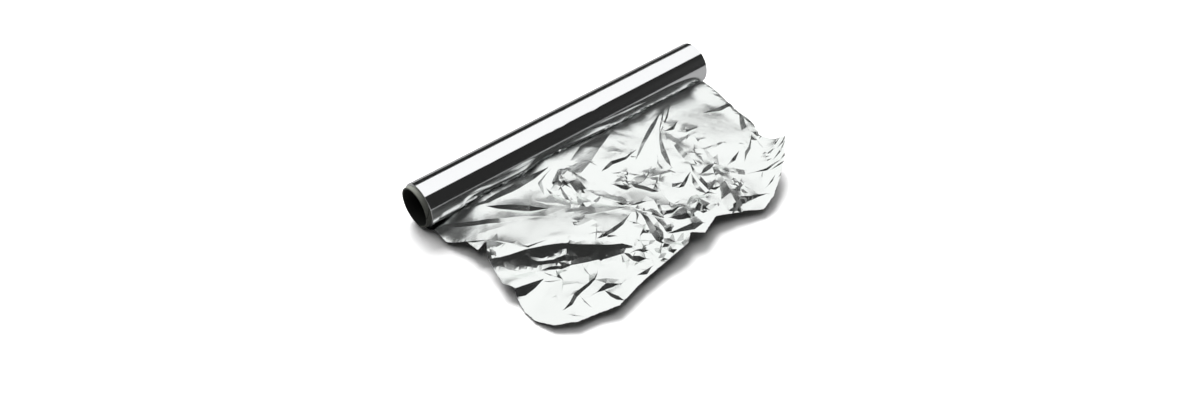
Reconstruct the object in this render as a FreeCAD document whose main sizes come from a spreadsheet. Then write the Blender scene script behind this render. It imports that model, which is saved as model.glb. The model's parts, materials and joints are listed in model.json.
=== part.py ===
import FreeCAD, Part
import Sketcher
import math
import os
import random

# Aluminium foil roll: a web wound on a cardboard core, with its free end pulled out
# over the floor, crumpled and torn off. Millimetres. The origin is on the core's axis
# at the middle of the web, X runs along the roll, the loose end lies towards -Y, and
# the floor is one roll radius below the origin.

SIZES = [
    ("web_width", 300.0, "width of the foil web, end to end of the roll"),
    ("core_diameter", 35.2, "outside of the cardboard core"),
    ("core_wall", 1.6, "wall of the cardboard core"),
    ("core_stand_out", 4.6, "core past the web at the near end"),
    ("core_set_back", 0.4, "core short of the web at the far end"),
    ("core_edge_break", 0.25, "worn outer edge of the core's cut ends"),
    ("winding_clearance", 0.05, "gap between the core and the first turn"),
    ("winding_build", 1.65, "thickness of all the turns together"),
    ("turn_ring_width", 0.14, "shadow line between turns on the roll's ends"),
    ("turn_ring_depth", 0.3, "how far those lines go in"),
    ("turn_ring_count", 4, "lines on each end"),
    ("sheet_thickness", 0.4, "loose web, thickened to hold as a solid"),
    ("flat_run", 8.0, "flat stretch of web under the roll, from the axis"),
    ("loose_reach", 170.0, "how far the loose web reaches from the axis"),
    ("fold_height", 20.0, "height of a tall fold above the floor"),
    ("outline_step", 5.5, "spacing of points along the loose web's edge"),
    ("fold_step", 5.5, "spacing of points along a fold"),
    ("crumple_cell", 6.8, "spacing of the small crumples"),
    ("crumple_height", 1.3, "height of the small crumples, each way"),
    ("calm_share", 0.3, "share of that height left where the web lies smooth"),
    ("calm_reach", 22.0, "radius of each smooth stretch"),
]

# The loose web's edge from the roll's near end round to its far end. Each point is
# across the web and out from the roll's axis, in percent of the web's width (from its
# middle) and of the loose reach, and then its lift in percent of the fold height.
OUTLINE = [
    (-50, 7, 2), (-50, 13, 3), (-50, 20, 8), (-49, 24, 30), (-47, 30, 50), (-47, 38, 58),
    (-44, 38, 80), (-47, 46, 60), (-48, 56, 45), (-49, 62, 46), (-47.5, 67, 42), (-48, 70, 15),
    (-49, 77, 8), (-49, 85, 10), (-47, 93, 25), (-42, 99, 35), (-36, 101, 30), (-31, 104, 40),
    (-21, 100, 45), (-12, 98, 45), (-4, 97, 65), (-1, 93, 70), (2, 97, 60), (9, 92, 60),
    (16, 96, 35), (22, 101, 30), (27, 99, 50), (34, 92, 70), (39, 86, 85), (44.5, 77, 115),
    (42, 74, 100), (41, 66, 85), (43.5, 56, 75), (45, 47, 66), (47, 34, 50), (49, 24, 40),
    (50, 14, 15), (49.5, 9, 5), (50, 7, 2),
]

# The folds, in the same terms: each is a line of creased foil, a crest or the foot
# of one.
FOLDS = {
    "shoulder by the roll": [(-48, 14, 30), (-43, 15, 40), (-37, 18, 47), (-30, 19, 55), (-26, 21, 60),
                             (-18, 20, 62)],
    "shoulder to the far end": [(-7, 20, 64), (0, 22, 62), (12, 22, 60), (20, 20, 60), (28, 18, 62),
                                (38, 18, 60), (46, 16, 40)],
    "near wrinkle": [(-46, 22, 42), (-38, 25, 58), (-30, 27, 66), (-22, 31, 70)],
    "plateau": [(-46, 32, 52), (-39, 40, 68), (-30, 48, 76)],
    "scarp crest": [(-47, 48, 78), (-38, 55, 92), (-30, 63, 100), (-27, 68, 96), (-23, 74, 92),
                    (-18, 79, 86), (-15, 84, 70)],
    "scarp foot": [(-47, 52, 50), (-42, 60, 22), (-36, 66, 16), (-31, 70, 20), (-23, 77, 34),
                   (-20, 79, 45), (-18, 84, 45)],
    "flap crest": [(-47, 65, 48), (-40, 69, 45), (-35, 71, 36), (-32, 73, 30)],
    "flap foot": [(-47, 70, 16), (-42, 72, 8), (-38, 73, 12), (-34, 75, 20)],
    "lobe ridge": [(-29, 82, 48), (-33, 84, 42), (-37, 86, 42), (-40, 90, 38), (-42, 94, 34)],
    "lobe streak": [(-28, 84, 36), (-32, 87, 32), (-37, 90, 30), (-39, 95, 28)],
    "lobe tail": [(-19, 92, 52), (-24, 93, 52), (-29, 92, 52), (-32, 94, 44), (-35, 97, 34)],
    "lobe hollow": [(-20, 88, 36), (-25, 88, 34), (-30, 89, 34)],
    "peak down the near side": [(-13, 23, 120), (-17, 26, 98), (-21, 28, 56)],
    "peak down the middle": [(-13, 23, 120), (-16, 29, 88), (-19, 34, 50)],
    "peak to the valley ridge": [(-13, 23, 120), (-13, 29, 100), (-12, 35, 92), (-12, 43, 84),
                                 (-10, 49, 78), (-8, 56, 72), (-7, 62, 78)],
    "peak to the roll": [(-13, 23, 120), (-14, 18, 66), (-14, 13, 34)],
    "peak down the far side": [(-13, 23, 120), (-9, 24, 76), (-5, 26, 52)],
    "valley": [(-17, 38, 46), (-15, 44, 46), (-13, 50, 46), (-11, 57, 50), (-10, 63, 56)],
    "long ridge": [(1, 24, 66), (-5, 29, 76), (-10, 34, 86)],
    "field streak": [(14, 31, 70), (10, 34, 78), (5, 34, 78), (1, 35, 78), (-3, 38, 70)],
    "field streak foot": [(12, 37, 60), (5, 37, 60), (1, 38, 60)],
    "slit lip": [(-5, 45, 72), (-1, 50, 84), (3, 60, 84), (5, 66, 70)],
    "slit floor": [(-5, 48, 54), (-1, 53, 52), (2, 61, 52)],
    "spike": [(22, 22, 62), (18, 36, 98), (14, 52, 72)],
    "spike near foot": [(20, 22, 48), (15, 34, 58), (13, 44, 52)],
    "spike far foot": [(23, 28, 50), (20, 41, 52), (17, 50, 52)],
    "knot to the scarp": [(-7, 69, 104), (-11, 67, 88), (-15, 68, 80), (-19, 69, 78)],
    "knot foot": [(-9, 73, 62), (-14, 72, 58), (-19, 73, 60)],
    "knot to the edge": [(-7, 69, 104), (-8, 76, 92), (-9, 84, 74), (-8, 91, 62)],
    "knot to the slit": [(-7, 69, 104), (-3, 67, 84), (1, 68, 76)],
    "knot far foot": [(-4, 74, 50), (-5, 82, 46), (-4, 89, 50)],
    "saddle ridge": [(19, 42, 92), (18, 54, 84), (19, 62, 76)],
    "cone": [(10, 63, 66), (13, 66, 104), (16, 69, 70), (15, 77, 58)],
    "cone foot": [(10, 67, 52), (12, 73, 42), (11, 80, 44)],
    "far knot up": [(26, 59, 104), (24, 52, 84), (25, 44, 70)],
    "far knot down": [(26, 59, 104), (22, 64, 74), (21, 71, 86), (20, 79, 82), (18, 85, 74), (16, 92, 52)],
    "canyon": [(23, 67, 50), (21, 76, 34), (18, 83, 28), (17, 91, 28)],
    "canyon far lip": [(26, 66, 74), (24, 76, 66), (21, 84, 56), (20, 92, 44)],
    "far field": [(26, 35, 60), (31, 39, 66), (38, 42, 68), (44, 44, 66)],
    "far wrinkle": [(28, 33, 58), (34, 31, 60), (40, 31, 60), (46, 34, 50)],
    "step crest": [(44, 48, 72), (40, 57, 80), (37, 65, 84), (34, 70, 82), (30, 74, 78)],
    "step foot": [(44, 54, 58), (41, 63, 66), (37, 70, 66), (32, 76, 56)],
    "bowl rim": [(37, 75, 74), (35, 81, 66), (32, 87, 60), (30, 92, 52)],
    "bowl floor": [(30, 82, 48), (27, 88, 36), (24, 92, 32)],
    "curl": [(40, 78, 92), (38, 82, 82), (35, 87, 72)],
}

# The middles of the stretches that lie smooth between the folds, across and out.
SMOOTH = [(-38, 42), (-30, 48), (-41, 24), (4, 16), (40, 34), (29, 86), (-43, 83), (-26, 24)]

CRUMPLE_SEED = 11


def add_sizes(doc):
    """Write the driving sizes to the sheet, one alias each, and return their values."""
    sheet = doc.addObject("Spreadsheet::Sheet", "sizes")
    for row, (name, value, note) in enumerate(SIZES, start=1):
        sheet.set(f"A{row}", name)
        sheet.set(f"B{row}", str(value))
        sheet.set(f"C{row}", note)
        sheet.setAlias(f"B{row}", name)
    doc.recompute()
    return {name: float(sheet.get(name)) for name, _, _ in SIZES}


def turns_inside(size):
    """Radius of the hole through the wound turns."""
    return size["core_diameter"] / 2 + size["winding_clearance"]


def turns_outside(size):
    """Radius of the roll, which is also its axis's height above the floor."""
    return turns_inside(size) + size["winding_build"]


TURNS_INSIDE = "(sizes.core_diameter / 2 + sizes.winding_clearance)"
TURNS_OUTSIDE = "(sizes.core_diameter / 2 + sizes.winding_clearance + sizes.winding_build)"


def origin_feature(body, role):
    return next(item for item in body.Origin.OriginFeatures if item.Role == role)


def plane_sketch(body, name, role):
    sketch = body.newObject("Sketcher::SketchObject", name)
    sketch.AttachmentSupport = [(origin_feature(body, role), "")]
    sketch.MapMode = "FlatFace"
    return sketch


def bound_constraint(sketch, constraint, name, expression):
    """Add a named dimension to a sketch and bind it to the sheet."""
    sketch.addConstraint(constraint)
    sketch.renameConstraint(sketch.ConstraintCount - 1, name)
    sketch.setExpression(f"Constraints.{name}", expression)


def centred_circle(sketch, radius, name, expression):
    index = sketch.addGeometry(Part.Circle(FreeCAD.Vector(), FreeCAD.Vector(0, 0, 1), radius), False)
    sketch.addConstraint(Sketcher.Constraint("Coincident", index, 3, -1, 1))
    bound_constraint(sketch, Sketcher.Constraint("Radius", index, radius), name, expression)


def cardboard_core(doc, size):
    """Spiral-wound tube, cut square, with the outer edges of its ends worn round."""
    body = doc.addObject("PartDesign::Body", "cardboard_core")
    outer = size["core_diameter"] / 2
    section = plane_sketch(body, "core_section", "YZ_Plane")
    centred_circle(section, outer, "outer", "sizes.core_diameter / 2")
    centred_circle(section, outer - size["core_wall"], "bore", "sizes.core_diameter / 2 - sizes.core_wall")
    tube = body.newObject("PartDesign::Pad", "core_tube")
    tube.Profile = section
    tube.setExpression("Length", "sizes.web_width + sizes.core_stand_out - sizes.core_set_back")
    doc.recompute()
    rims = [f"Edge{number}" for number, edge in enumerate(tube.Shape.Edges, start=1)
            if hasattr(edge.Curve, "Radius") and abs(edge.Curve.Radius - outer) < 1e-6 and edge.isClosed()]
    worn = body.newObject("PartDesign::Chamfer", "worn_edges")
    worn.Base = (tube, rims)
    worn.setExpression("Size", "sizes.core_edge_break")
    body.Tip = worn
    body.Label = "cardboard_core"
    body.setExpression("Placement.Base.x", "-sizes.web_width / 2 - sizes.core_stand_out")
    return body


def turns_section(body, size):
    """Outline of the wound turns, with the last turn leaving flat along the floor."""
    radius = turns_outside(size)
    thick = size["sheet_thickness"]
    run = size["flat_run"]
    bottom = FreeCAD.Vector(0, -radius)
    lift_off = FreeCAD.Vector(-math.sqrt(radius ** 2 - (radius - thick) ** 2), thick - radius)
    run_top = FreeCAD.Vector(-run, thick - radius)
    run_bottom = FreeCAD.Vector(-run, -radius)
    circle = Part.Circle(FreeCAD.Vector(), FreeCAD.Vector(0, 0, 1), radius)
    leaving = math.atan2(lift_off.y, lift_off.x) + 2 * math.pi
    sketch = plane_sketch(body, "turns_section", "YZ_Plane")
    arc, top, end, base = sketch.addGeometry([
        Part.ArcOfCircle(circle, -math.pi / 2, leaving),
        Part.LineSegment(lift_off, run_top),
        Part.LineSegment(run_top, run_bottom),
        Part.LineSegment(run_bottom, bottom),
    ], False)
    sketch.addConstraint([
        Sketcher.Constraint("Coincident", arc, 3, -1, 1),
        Sketcher.Constraint("Coincident", arc, 2, top, 1),
        Sketcher.Constraint("Coincident", top, 2, end, 1),
        Sketcher.Constraint("Coincident", end, 2, base, 1),
        Sketcher.Constraint("Coincident", base, 2, arc, 1),
        Sketcher.Constraint("Horizontal", top),
        Sketcher.Constraint("Vertical", end),
        Sketcher.Constraint("Horizontal", base),
        Sketcher.Constraint("PointOnObject", arc, 1, -2),
    ])
    bound_constraint(sketch, Sketcher.Constraint("Radius", arc, radius), "outer", TURNS_OUTSIDE)
    bound_constraint(sketch, Sketcher.Constraint("DistanceY", end, 2, end, 1, thick), "thick",
                     "sizes.sheet_thickness")
    bound_constraint(sketch, Sketcher.Constraint("DistanceX", end, 1, -1, 1, run), "run", "sizes.flat_run")
    centred_circle(sketch, turns_inside(size), "inner", TURNS_INSIDE)
    return sketch


def ring_line(sketch, number, side, size):
    """One narrow rectangle that turns into a ring between two turns of an end."""
    depth = size["turn_ring_depth"]
    half = size["turn_ring_width"] / 2
    radius = turns_inside(size) + size["winding_build"] * number / (size["turn_ring_count"] + 1)
    mouth = 0.0 if side == "near" else size["web_width"]
    bottom = depth if side == "near" else size["web_width"] - depth
    corners = [FreeCAD.Vector(mouth, radius - half), FreeCAD.Vector(bottom, radius - half),
               FreeCAD.Vector(bottom, radius + half), FreeCAD.Vector(mouth, radius + half)]
    lines = sketch.addGeometry([Part.LineSegment(corners[i], corners[(i + 1) % 4]) for i in range(4)], False)
    for i in range(4):
        sketch.addConstraint(Sketcher.Constraint("Coincident", lines[i], 2, lines[(i + 1) % 4], 1))
    for i in (0, 2):
        sketch.addConstraint(Sketcher.Constraint("Horizontal", lines[i]))
        sketch.addConstraint(Sketcher.Constraint("Vertical", lines[i + 1]))
    tag = f"{side}{number}"
    radius_rule = (f"{TURNS_INSIDE} + sizes.winding_build * {number} / (sizes.turn_ring_count + 1)"
                   " - sizes.turn_ring_width / 2")
    bound_constraint(sketch, Sketcher.Constraint("DistanceY", -1, 1, lines[0], 1, radius - half),
                     tag + "radius", radius_rule)
    bound_constraint(sketch, Sketcher.Constraint("DistanceY", lines[1], 1, lines[1], 2, 2 * half),
                     tag + "width", "sizes.turn_ring_width")
    if side == "near":
        sketch.addConstraint(Sketcher.Constraint("PointOnObject", lines[0], 1, -2))
        bound_constraint(sketch, Sketcher.Constraint("DistanceX", lines[0], 1, lines[0], 2, depth),
                         tag + "depth", "sizes.turn_ring_depth")
    else:
        bound_constraint(sketch, Sketcher.Constraint("DistanceX", -1, 1, lines[0], 1, mouth),
                         tag + "mouth", "sizes.web_width")
        bound_constraint(sketch, Sketcher.Constraint("DistanceX", lines[0], 2, lines[0], 1, depth),
                         tag + "depth", "sizes.turn_ring_depth")


def wound_turns(doc, size):
    """The turns on the core as one solid, with the lines between turns on both ends."""
    body = doc.addObject("PartDesign::Body", "wound_turns")
    section = turns_section(body, size)
    turns = body.newObject("PartDesign::Pad", "turns")
    turns.Profile = section
    turns.setExpression("Length", "sizes.web_width")
    doc.recompute()
    solid_volume = turns.Shape.Volume
    rings = plane_sketch(body, "ring_lines", "XZ_Plane")
    for number in range(1, int(size["turn_ring_count"]) + 1):
        for side in ("near", "far"):
            ring_line(rings, number, side, size)
    groove = body.newObject("PartDesign::Groove", "turn_rings")
    groove.Profile = rings
    groove.ReferenceAxis = (origin_feature(body, "X_Axis"), [""])
    groove.Angle = 360.0
    body.Tip = groove
    body.setExpression("Placement.Base.x", "-sizes.web_width / 2")
    doc.recompute()
    if not groove.Shape.Volume < solid_volume:
        raise RuntimeError("the turn rings cut nothing")
    return body


class Mesh2D:
    """Delaunay triangles over points in plan, grown one point at a time.

    The first triangle is so large that everything lies inside it.
    """

    def __init__(self, width):
        far = 1000 * width
        self.points = [(-far, -far, 0), (far, -far, 0), (0, far, 0)]
        self.triangles = []
        self.add_triangle(0, 1, 2)

    def add_triangle(self, a, b, c):
        (ax, ay, _), (bx, by, _), (cx, cy, _) = self.points[a], self.points[b], self.points[c]
        turn = 2 * ((bx - ax) * (cy - ay) - (by - ay) * (cx - ax))
        if turn < 0:
            b, c, turn = c, b, -turn
            bx, by, cx, cy = cx, cy, bx, by
        if turn < 1e-9:
            return
        b2 = (bx - ax) ** 2 + (by - ay) ** 2
        c2 = (cx - ax) ** 2 + (cy - ay) ** 2
        ux = ((cy - ay) * b2 - (by - ay) * c2) / turn
        uy = ((bx - ax) * c2 - (cx - ax) * b2) / turn
        self.triangles.append((a, b, c, ax + ux, ay + uy, ux ** 2 + uy ** 2))

    def insert(self, point):
        x, y = point[:2]
        index = len(self.points)
        self.points.append(point)
        inside = [t for t in self.triangles if (x - t[3]) ** 2 + (y - t[4]) ** 2 < t[5]]
        edges = set()
        for a, b, c, *_ in inside:
            for edge in ((a, b), (b, c), (c, a)):
                if edge[::-1] in edges:
                    edges.remove(edge[::-1])
                else:
                    edges.add(edge)
        gone = set(inside)
        self.triangles = [t for t in self.triangles if t not in gone]
        for a, b in sorted(edges):
            self.add_triangle(a, b, index)
        return index

    def height_at(self, x, y):
        for a, b, c, *_ in self.triangles:
            weights = self.weights(x, y, a, b, c)
            if min(weights) >= -1e-9:
                return sum(w * self.points[i][2] for w, i in zip(weights, (a, b, c)))
        return 0.0

    def weights(self, x, y, a, b, c):
        (ax, ay, _), (bx, by, _), (cx, cy, _) = self.points[a], self.points[b], self.points[c]
        whole = (bx - ax) * (cy - ay) - (by - ay) * (cx - ax)
        wb = ((x - ax) * (cy - ay) - (y - ay) * (cx - ax)) / whole
        wc = ((bx - ax) * (y - ay) - (by - ay) * (x - ax)) / whole
        return 1 - wb - wc, wb, wc


def placed(point, size):
    """A point of the outline or of a fold, in millimetres: x, y and height above the floor."""
    across, out, lift = point
    return (across / 100 * size["web_width"], -out / 100 * size["loose_reach"], lift / 100 * size["fold_height"])


def stepped(line, step):
    """A line of points with more points between them, at most one step apart."""
    points = [line[0]]
    for start, end in zip(line, line[1:]):
        parts = max(1, math.ceil(math.dist(start[:2], end[:2]) / step))
        points += [tuple(s + (e - s) * k / parts for s, e in zip(start, end)) for k in range(1, parts + 1)]
    return points


def clear_of(point, others, gap):
    return all((point[0] - x) ** 2 + (point[1] - y) ** 2 > gap ** 2 for x, y, _ in others)


def inside_outline(x, y, outline):
    odd = False
    for (ax, ay, _), (bx, by, _) in zip(outline, outline[1:] + outline[:1]):
        if (ay > y) != (by > y) and x < ax + (bx - ax) * (y - ay) / (by - ay):
            odd = not odd
    return odd


def keep_edge(mesh, a, b):
    """Indices from a to b along one straight edge, split until each part is a triangle's side."""
    if any(a in t[:3] and b in t[:3] for t in mesh.triangles):
        return [b]
    middle = mesh.insert(tuple((s + e) / 2 for s, e in zip(mesh.points[a], mesh.points[b])))
    return keep_edge(mesh, a, middle) + keep_edge(mesh, middle, b)


def crumple_share(x, y, size):
    """How much of the small crumples' height is left at one place."""
    middles = [placed((across, out, 0), size) for across, out in SMOOTH]
    return 1.0 if clear_of((x, y), middles, size["calm_reach"]) else size["calm_share"]


def crumpled_plan(size):
    """Points of the crumpled web, its triangles in plan and the loop of its edge."""
    half = size["web_width"] / 2
    start = [(half, -size["flat_run"], 0.0), (-half, -size["flat_run"], 0.0)]
    edge = [placed(point, size) for point in OUTLINE]
    outline = stepped(start[1:] + edge + start, size["outline_step"])[:-1]
    mesh = Mesh2D(size["web_width"])
    loop = [mesh.insert(point) for point in outline]
    kept = list(outline)
    for line in FOLDS.values():
        for point in stepped([placed(p, size) for p in line], size["fold_step"]):
            if clear_of(point, kept, size["fold_step"] / 3):
                mesh.insert(point)
                kept.append(point)
    draw = random.Random(CRUMPLE_SEED)
    cell = size["crumple_cell"]
    outermost = min(y for _, y, _ in outline)
    crumples = []
    for row in range(math.ceil(-outermost / cell)):
        for column in range(math.ceil(size["web_width"] / cell)):
            x = -half + (column + draw.random()) * cell
            y = -size["flat_run"] - (row + draw.random()) * cell
            rise = draw.uniform(-1, 1) * size["crumple_height"] * crumple_share(x, y, size)
            if inside_outline(x, y, outline) and clear_of((x, y), kept, cell / 2):
                crumples.append((x, y, max(0.0, mesh.height_at(x, y) + rise)))
                kept.append(crumples[-1])
    for point in crumples:
        mesh.insert(point)
    closed = []
    for a, b in zip(loop, loop[1:] + loop[:1]):
        closed += keep_edge(mesh, a, b)
    border = [mesh.points[i] for i in closed]
    triangles = []
    for a, b, c, *_ in mesh.triangles:
        corners = [mesh.points[i] for i in (a, b, c)]
        if inside_outline(sum(p[0] for p in corners) / 3, sum(p[1] for p in corners) / 3, border):
            triangles.append((a, b, c))
    return mesh.points, triangles, closed


def crumpled_web(doc, size):
    """The loose end: a thin crumpled sheet, closed all round, that starts at the flat run."""
    points, triangles, closed = crumpled_plan(size)
    floor = -turns_outside(size)
    thick = size["sheet_thickness"]
    used = sorted({i for triangle in triangles for i in triangle})
    place = {index: number for number, index in enumerate(used)}
    under = [FreeCAD.Vector(x, y, floor + z) for x, y, z in (points[i] for i in used)]
    over = [point + FreeCAD.Vector(0, 0, thick) for point in under]
    count = len(used)
    facets = []
    for a, b, c in triangles:
        a, b, c = place[a], place[b], place[c]
        facets += [(a, c, b), (a + count, b + count, c + count)]
    rim = {(a, b) for t in triangles for a, b in ((t[0], t[1]), (t[1], t[2]), (t[2], t[0]))}
    for a, b in sorted(rim):
        if (b, a) not in rim:
            a, b = place[a], place[b]
            facets += [(a, b, b + count), (a, b + count, a + count)]
    shell = Part.Shape()
    shell.makeShapeFromMesh((under + over, facets), 0.001, True)
    web = doc.addObject("Part::Feature", "crumpled_web")
    web.Shape = Part.Solid(Part.Shell(shell.Faces))
    print("crumpled web:", len(facets), "triangles,", len(closed), "points round its edge")
    return web


def foil(doc, size):
    """The whole web, one piece of foil: its turns and its loose end."""
    joined = doc.addObject("Part::Fuse", "foil")
    joined.Base = wound_turns(doc, size)
    joined.Tool = crumpled_web(doc, size)
    joined.Refine = False
    joined.Label = "foil"
    return joined


def check(doc, parts):
    """Stop unless every object and every sub-part came out whole."""
    for item in doc.Objects:
        if "Invalid" in item.State or "Error" in item.State:
            raise RuntimeError(f"{item.Name} failed: {item.State}")
    for part in parts:
        shape = part.Shape
        if shape.isNull() or not shape.isValid() or len(shape.Solids) != 1:
            raise RuntimeError(f"{part.Label} isn't one valid solid")


def main():
    doc = FreeCAD.newDocument("aluminium_foil_roll")
    size = add_sizes(doc)
    parts = [foil(doc, size), cardboard_core(doc, size)]
    doc.recompute()
    check(doc, parts)
    os.makedirs("parts", exist_ok=True)
    for part in parts:
        part.Shape.exportStep(f"parts/{part.Label}.step")
        box = part.Shape.BoundBox
        print(part.Label, round(part.Shape.Volume, 1), "mm3", len(part.Shape.Faces), "faces",
              [round(v, 2) for v in (box.XMin, box.YMin, box.ZMin, box.XMax, box.YMax, box.ZMax)])


main()
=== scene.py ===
import json
import math
import random

import bpy
import numpy as np
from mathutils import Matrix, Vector
from mathutils.bvhtree import BVHTree
from mathutils.geometry import delaunay_2d_cdt


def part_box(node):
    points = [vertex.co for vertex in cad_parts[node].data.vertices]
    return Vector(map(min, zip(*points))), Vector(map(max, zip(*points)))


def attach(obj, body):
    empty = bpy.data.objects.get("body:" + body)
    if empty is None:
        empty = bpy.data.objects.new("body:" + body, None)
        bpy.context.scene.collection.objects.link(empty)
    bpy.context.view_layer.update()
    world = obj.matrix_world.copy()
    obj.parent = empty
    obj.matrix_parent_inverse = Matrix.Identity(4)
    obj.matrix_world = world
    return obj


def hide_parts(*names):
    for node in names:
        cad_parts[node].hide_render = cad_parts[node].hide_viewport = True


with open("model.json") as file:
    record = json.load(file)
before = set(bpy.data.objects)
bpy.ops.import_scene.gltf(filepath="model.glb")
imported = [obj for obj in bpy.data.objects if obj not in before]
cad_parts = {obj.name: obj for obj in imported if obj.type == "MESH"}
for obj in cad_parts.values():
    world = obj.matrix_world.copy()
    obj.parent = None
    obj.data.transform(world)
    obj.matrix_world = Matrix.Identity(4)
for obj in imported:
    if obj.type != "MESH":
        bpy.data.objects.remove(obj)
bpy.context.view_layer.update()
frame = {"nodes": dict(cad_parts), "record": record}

mm = 0.001

foilLow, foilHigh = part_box("foil")
coreLow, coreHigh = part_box("cardboard_core")
rollRadius = foilHigh.y          # the roll's own back, the loose end never reaches it
webHalf = foilHigh.x
floorHeight = -rollRadius
boreRadius = frame["record"]["mounts"][0]["dims"]["r_mm"] * mm


# Small helpers for colours, node trees and meshes

def linearFromHex(code):
    channels = [int(code[i:i + 2], 16) / 255 for i in (1, 3, 5)]
    return tuple(c / 12.92 if c <= 0.04045 else ((c + 0.055) / 1.055) ** 2.4 for c in channels) + (1.0,)


def addNode(tree, kind, settings=None, **inputs):
    # settings are the node's own properties, inputs are values or sockets by name, or by place as i0, i1
    node = tree.nodes.new(kind)
    for name, value in (settings or {}).items():
        setattr(node, name, value)
    for name, value in inputs.items():
        numbered = name[0] == "i" and name[1:].isdigit()
        socket = node.inputs[int(name[1:]) if numbered else name.replace("_", " ")]
        if isinstance(value, bpy.types.NodeSocket):
            tree.links.new(value, socket)
        else:
            socket.default_value = value
    return node


def newMaterial(name):
    material = bpy.data.materials.new(name)
    material.use_nodes = True
    tree = material.node_tree
    tree.nodes.clear()
    output = tree.nodes.new("ShaderNodeOutputMaterial")
    return material, tree, output


def meshPiece(name, points, faces, smooth=True):
    mesh = bpy.data.meshes.new(name)
    mesh.from_pydata([tuple(p) for p in points], [], faces)
    mesh.validate()
    mesh.polygons.foreach_set("use_smooth", [smooth] * len(mesh.polygons))
    mesh.update()
    piece = bpy.data.objects.new(name, mesh)
    bpy.context.scene.collection.objects.link(piece)
    return piece


# The photograph's camera, fitted to the roll's ends and outline
camera = {
    "place": (-0.4791, -0.6067, 0.6330),     # height is above the floor
    "azimuth": -40.474,
    "elevation": 42.006,
    "focalPixels": 1149.5,
    "frameSize": (1200, 400),
    "sensor": 36.0,
    "rayFrom": 0.062,                        # height from which a pixel's ray is followed down
    "rayStep": 0.0002,
}


# The loose end: crumpled foil, satin face up. Its main folds come from the solid, and the
# creases are placed where the photograph shows them.

looseEnd = {
    "seed": 7,
    "thick": 0.06 * mm,
    "clearance": 0.05 * mm,        # from the floor and from the roll
    "underRoll": 1.5 * mm,         # where it starts under the roll, out from the axis
    "webWidth": 0.300,
    "reach": 0.170,
    "flatLength": 0.190,
    "castStep": 1.5 * mm,          # grid on which the solid's underside is read
    "gridMargin": 15 * mm,
    "castBelow": 0.01,
    "castReach": 0.08,
    "softening": 5.0 * mm,         # blur that leaves only the main folds of the solid
    "calming": 11.0 * mm,          # and the blur where it lies calm
    "edgeCells": 1.2,              # and at its edge, in cells of the grid
    "edgeShare": 0.55,             # how full a blur's reach is at the edge
    "innerShare": 0.4,             # and how much fuller where the edge no longer counts
    "spread": 2.1 * mm,            # spacing of the free points
    "closest": 0.35,               # least distance of two of them, as a share of it
    "edgeStep": 1.0 * mm,
    "creaseStep": 1.2 * mm,
    "fineRise": 0.045 * mm,
    "tornDepth": 0.5 * mm,
    "tornFrom": 12 * mm,           # how far out its edge begins to be ragged, and over what length
    "tornOver": 10 * mm,
    "sameSpot": 0.02 * mm,         # corners nearer than this are joined
    "sharpAngle": 9.0,
    "liftOff": 8.0 * mm,           # where it leaves the floor beside the roll
    "hiddenTo": 19.0 * mm,         # how far out the roll hides it
    "shoulderFade": 25.0 * mm,     # and how far past the shoulder the solid's own form is back
    "mostFall": 0.07,              # slope toward the roll or its far end
    "fillCells": 1.5,              # blur of what fills its hollows
    "settling": 8.0 * mm,          # blur of what its creases raise
    "nearRamp": 42.0 * mm,         # from its near edge to where its hollows are quite filled
}

# How it rises from the roll, in mm: across the web, height above the floor where the roll
# hides it, then how far out its shoulder is and how high
shoulder = [
    (-150, 5, 24, 5), (-130, 5, 26, 6), (-112, 3, 30, 7.5), (-90, 2.5, 32, 9.5), (-77, 2.5, 35, 11),
    (-55, 3, 34, 12), (-43, 5, 32, 13), (-25, 8, 34, 12.5), (0, 7, 38, 11.5), (35, 7, 38, 11),
    (60, 8, 34, 10), (85, 8.5, 30, 9.5), (115, 7.5, 28, 8.5), (150, 4, 26, 6),
]

# Its edge from the roll's near end round to the far end, in percent: across the web from
# its middle, and out of the reach
sheetEdge = [
    (-50, 7), (-50, 13), (-50, 20), (-49, 24), (-47, 30), (-47, 38), (-44, 38), (-47, 46), (-48, 56),
    (-49, 62), (-47.5, 67), (-48, 70), (-49, 77), (-49, 85), (-47, 93), (-42, 99), (-36, 101), (-31, 104),
    (-21, 100), (-12, 98), (-4, 97), (-1, 93), (2, 97), (9, 92), (16, 96), (22, 101), (27, 99), (34, 92),
    (39, 86), (44.5, 77), (42, 74), (41, 66), (43.5, 56), (45, 47), (47, 34), (49, 24), (50, 14), (49.5, 9),
]

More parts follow.
